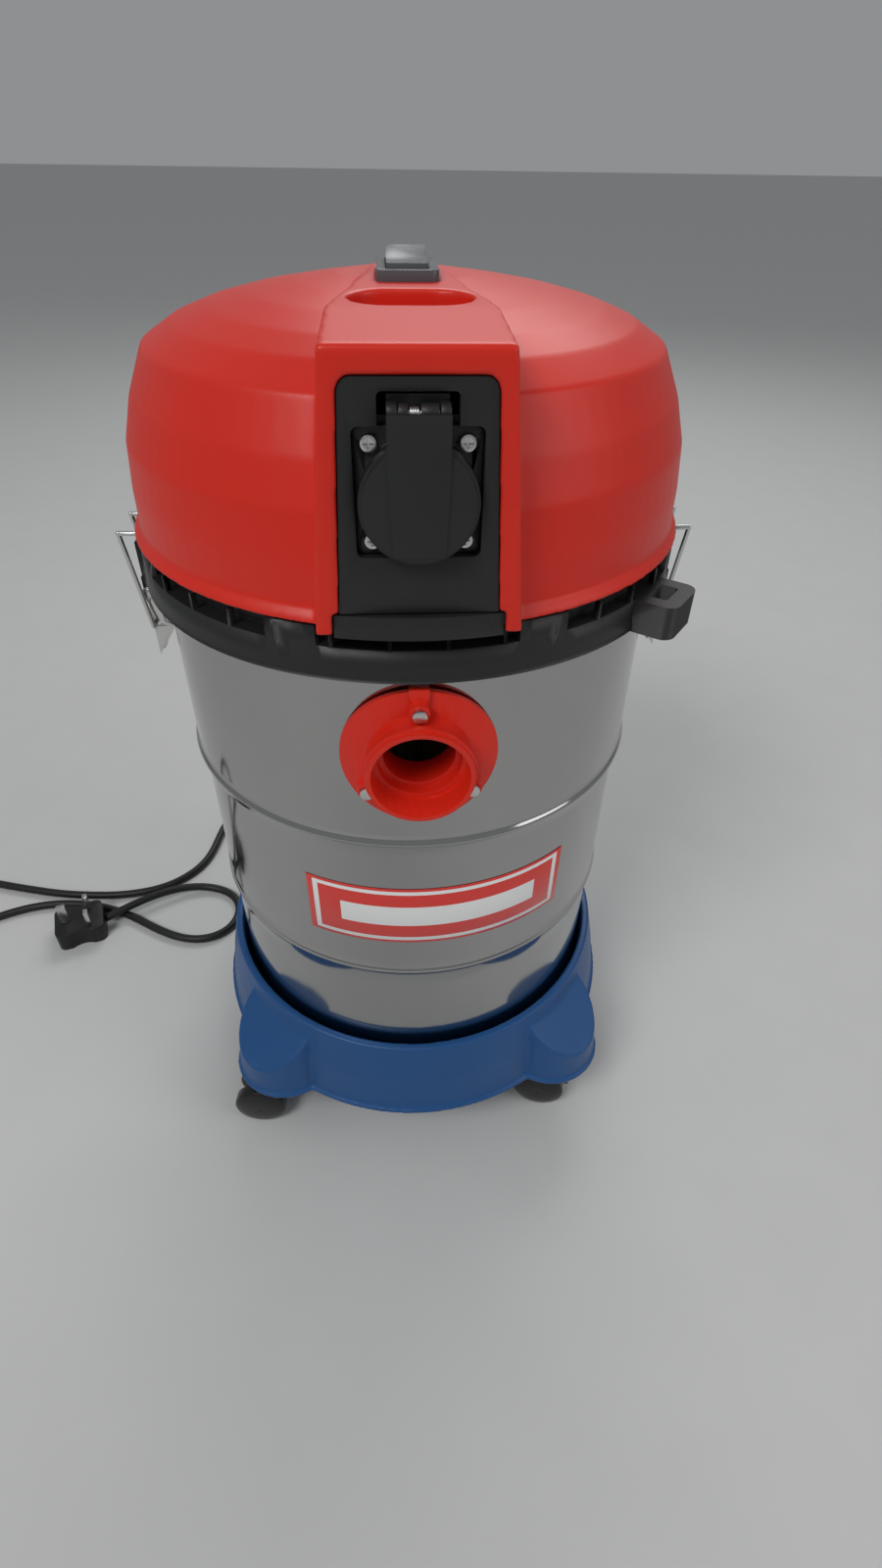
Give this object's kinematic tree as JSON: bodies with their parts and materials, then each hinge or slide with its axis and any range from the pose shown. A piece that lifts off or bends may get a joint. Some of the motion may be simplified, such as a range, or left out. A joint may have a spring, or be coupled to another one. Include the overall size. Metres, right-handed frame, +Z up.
{
  "type": "wet and dry shop vacuum",
  "caption": "Drum shop vacuum on a castored tray, with a domed motor head, tool socket, side latches, hose inlet and a mains cord lying beside it.",
  "frame": {"origin": "centre of the machine's footprint, at the floor", "axes": "+Z up, -Y toward the side with the socket panel and the hose inlet, +X to the right seen from that side"},
  "size_m": [0.7057, 0.5093, 0.5985],
  "materials": {
    "dome_plastic": "satin orange-red moulding",
    "tray_plastic": "satin blue moulding",
    "drum_steel": "bright polished stainless sheet",
    "black_plastic": "fine-grained black moulding",
    "caster_plastic": "glossy black moulding",
    "grey_plastic": "glossy mid grey moulding",
    "red_plastic": "glossy red moulding",
    "zinc_steel": "bright zinc plate",
    "motor_steel": "pressed steel sheet",
    "brass": "plain brass",
    "copper": "varnished copper and steel",
    "seal_rubber": "soft black rubber",
    "cord_rubber": "smooth black cable sheath",
    "filter_paper": "pleated paper and end caps",
    "label_film": "printed film, white field with red edges",
    "board": "green circuit board",
    "carbon": "pressed carbon",
    "float_plastic": "white moulding"
  },
  "bodies": {
    "tank": {"base_tray": "tray_plastic", "tray_screws": "zinc_steel", "tank_drum": "drum_steel", "tank_collar": "black_plastic", "tank_seal": "seal_rubber", "tank_label": "label_film", "inlet_port": "red_plastic", "inlet_gasket": "seal_rubber", "inlet_screws": "zinc_steel", "inlet_deflector": "black_plastic", "latch_pin_left": "zinc_steel", "latch_pin_right": "zinc_steel", "cord_coil": "cord_rubber", "cord_run": "cord_rubber", "plug_body": "cord_rubber", "plug_pins": "zinc_steel"},
    "head": {"head_dome": "dome_plastic", "head_screws": "zinc_steel", "fan_deck": "black_plastic", "socket_panel": "black_plastic", "socket_body": "black_plastic", "socket_contacts": "brass", "socket_screws": "zinc_steel", "flap_pin": "zinc_steel", "flap_spring": "zinc_steel", "switch_bezel": "grey_plastic", "motor_gasket": "seal_rubber", "fan_shroud": "motor_steel", "motor_lower_bracket": "motor_steel", "motor_upper_bracket": "motor_steel", "motor_stator": "motor_steel", "motor_bearings": "motor_steel", "carbon_brushes": "carbon", "control_board": "board", "filter_cartridge": "filter_paper", "filter_nut": "black_plastic", "float_cage": "black_plastic", "cord_gland": "seal_rubber", "cord_drop": "cord_rubber"},
    "rotor": {"motor_armature": "copper", "fan_wheel": "motor_steel"},
    "float": {"float_ball": "float_plastic"},
    "flap": {"socket_flap": "black_plastic"},
    "rocker": {"switch_rocker": "grey_plastic"},
    "lever_left": {"latch_lever_left": "zinc_steel"},
    "bail_left": {"latch_bail_left": "zinc_steel"},
    "lever_right": {"latch_lever_right": "zinc_steel"},
    "bail_right": {"latch_bail_right": "zinc_steel"},
    "caster_1": {"caster_yoke_1": "caster_plastic", "caster_axle_1": "zinc_steel"},
    "wheels_1": {"caster_wheels_1": "caster_plastic"},
    "caster_2": {"caster_yoke_2": "caster_plastic", "caster_axle_2": "zinc_steel"},
    "wheels_2": {"caster_wheels_2": "caster_plastic"},
    "caster_3": {"caster_yoke_3": "caster_plastic", "caster_axle_3": "zinc_steel"},
    "wheels_3": {"caster_wheels_3": "caster_plastic"},
    "caster_4": {"caster_yoke_4": "caster_plastic", "caster_axle_4": "zinc_steel"},
    "wheels_4": {"caster_wheels_4": "caster_plastic"}
  },
  "joints": [
    {"name": "head_lift", "type": "slide", "parent": "tank", "child": "head", "axis": [0, 0, 1], "range_m": [0, 0.3]},
    {"name": "latch_lever_left", "type": "hinge", "parent": "tank", "child": "lever_left", "pos_m": [-0.16, 0, 0.421], "axis": [0, 1, 0], "range_deg": [0, 130]},
    {"name": "latch_bail_left", "type": "hinge", "parent": "lever_left", "child": "bail_left", "pos_m": [-0.161, 0, 0.4], "axis": [0, 1, 0], "range_deg": [-156, 0]},
    {"name": "latch_lever_right", "type": "hinge", "parent": "tank", "child": "lever_right", "pos_m": [0.16, 0, 0.421], "axis": [0, -1, 0], "range_deg": [0, 130]},
    {"name": "latch_bail_right", "type": "hinge", "parent": "lever_right", "child": "bail_right", "pos_m": [0.161, 0, 0.4], "axis": [0, -1, 0], "range_deg": [-156, 0]},
    {"name": "socket_flap", "type": "hinge", "parent": "head", "child": "flap", "pos_m": [0, -0.1605, 0.56], "axis": [-1, 0, 0], "range_deg": [0, 100], "stiffness_Nm_per_rad": 0.02, "springref_deg": -28.65},
    {"name": "switch_rocker", "type": "hinge", "parent": "head", "child": "rocker", "pos_m": [0, -0.017, 0.591], "axis": [-1, 0, 0], "range_deg": [0, 10]},
    {"name": "float_rise", "type": "slide", "parent": "head", "child": "float", "axis": [0, 0, 1], "range_m": [0, 0.025]},
    {"name": "motor_spin", "type": "hinge", "parent": "head", "child": "rotor", "pos_m": [0, 0, 0.5], "axis": [0, 0, 1], "continuous": true},
    {"name": "caster_swivel_1", "type": "hinge", "parent": "tank", "child": "caster_1", "pos_m": [-0.11667, -0.11667, 0.06], "axis": [0, 0, 1], "continuous": true},
    {"name": "caster_roll_1", "type": "hinge", "parent": "caster_1", "child": "wheels_1", "pos_m": [-0.13062, -0.11545, 0.0205], "axis": [-0.0872, -0.9962, 0], "continuous": true},
    {"name": "caster_swivel_2", "type": "hinge", "parent": "tank", "child": "caster_2", "pos_m": [0.11667, -0.11667, 0.06], "axis": [0, 0, 1], "continuous": true},
    {"name": "caster_roll_2", "type": "hinge", "parent": "caster_2", "child": "wheels_2", "pos_m": [0.10315, -0.11305, 0.0205], "axis": [-0.2588, -0.9659, 0], "continuous": true},
    {"name": "caster_swivel_3", "type": "hinge", "parent": "tank", "child": "caster_3", "pos_m": [0.11667, 0.11667, 0.06], "axis": [0, 0, 1], "continuous": true},
    {"name": "caster_roll_3", "type": "hinge", "parent": "caster_3", "child": "wheels_3", "pos_m": [0.10289, 0.1191, 0.0205], "axis": [-0.1736, -0.9848, 0], "continuous": true},
    {"name": "caster_swivel_4", "type": "hinge", "parent": "tank", "child": "caster_4", "pos_m": [-0.11667, 0.11667, 0.06], "axis": [0, 0, 1], "continuous": true},
    {"name": "caster_roll_4", "type": "hinge", "parent": "caster_4", "child": "wheels_4", "pos_m": [-0.13046, 0.1191, 0.0205], "axis": [-0.1736, -0.9848, 0], "continuous": true}
  ],
  "couplings": [
    {"joint": "latch_bail_left", "follows": "latch_lever_left", "ratio": -1.2},
    {"joint": "latch_bail_right", "follows": "latch_lever_right", "ratio": -1.2}
  ]
}
